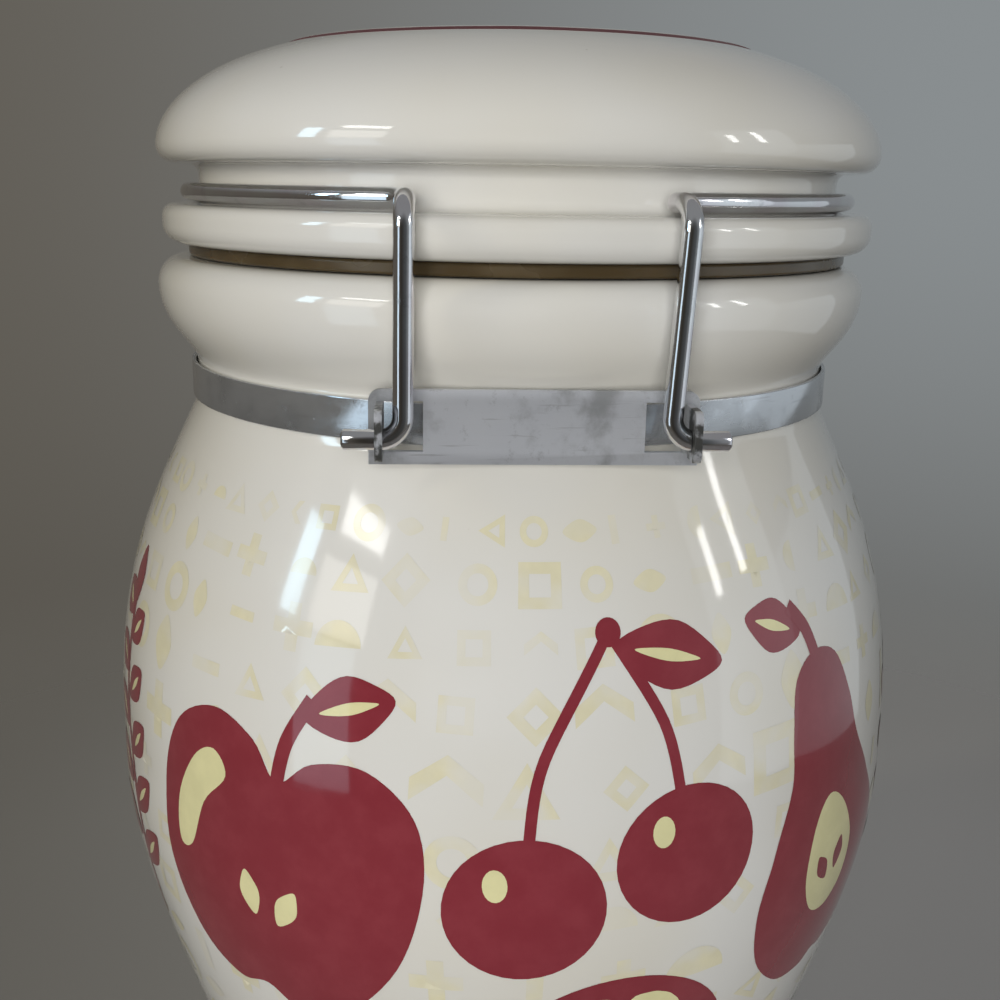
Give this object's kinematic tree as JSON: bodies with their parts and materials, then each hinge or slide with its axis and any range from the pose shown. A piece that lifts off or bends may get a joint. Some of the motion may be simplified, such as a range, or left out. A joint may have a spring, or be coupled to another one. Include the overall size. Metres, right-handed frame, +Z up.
{
  "type": "ceramic canister",
  "caption": "Barrel-shaped glazed ceramic storage jar with a wire-hinged domed lid, rubber gasket and wire clamp lever.",
  "frame": {"origin": "centre of the jar's axis on the surface that the foot ring stands on", "axes": "+Z up along the jar's axis, -Y towards the lid's hinge (the pictured side), +Y towards the clamp"},
  "size_m": [0.165, 0.1653, 0.2341],
  "materials": {
    "glaze": "glossy cream-white glaze",
    "gasket_rubber": "dark brown, slightly glossy",
    "strap_steel": "satin galvanised steel",
    "bright_wire": "bright plated wire"
  },
  "bodies": {
    "jar": {"jar_body": "glaze", "neck_strap": "strap_steel", "hinge_bracket": "strap_steel", "latch_bracket": "strap_steel"},
    "lid": {"lid": "glaze", "gasket": "gasket_rubber", "lid_wire": "bright_wire"},
    "lever": {"clamp_lever": "bright_wire"},
    "catch": {"clamp_catch": "bright_wire"}
  },
  "joints": [
    {"name": "lid_hinge", "type": "hinge", "parent": "jar", "child": "lid", "pos_m": [0, -0.07262, 0.169], "axis": [1, 0, 0], "range_deg": [0, 170]},
    {"name": "lever_pivot", "type": "hinge", "parent": "jar", "child": "lever", "pos_m": [0, 0.07262, 0.169], "axis": [-1, 0, 0], "range_deg": [0, 158]},
    {"name": "catch_pivot", "type": "hinge", "parent": "lever", "child": "catch", "pos_m": [0, 0.07707, 0.17651], "axis": [1, 0, 0], "range_deg": [0, 339]}
  ],
  "couplings": [
    {"joint": "catch_pivot", "follows": "lever_pivot", "ratio": 2.1393}
  ]
}
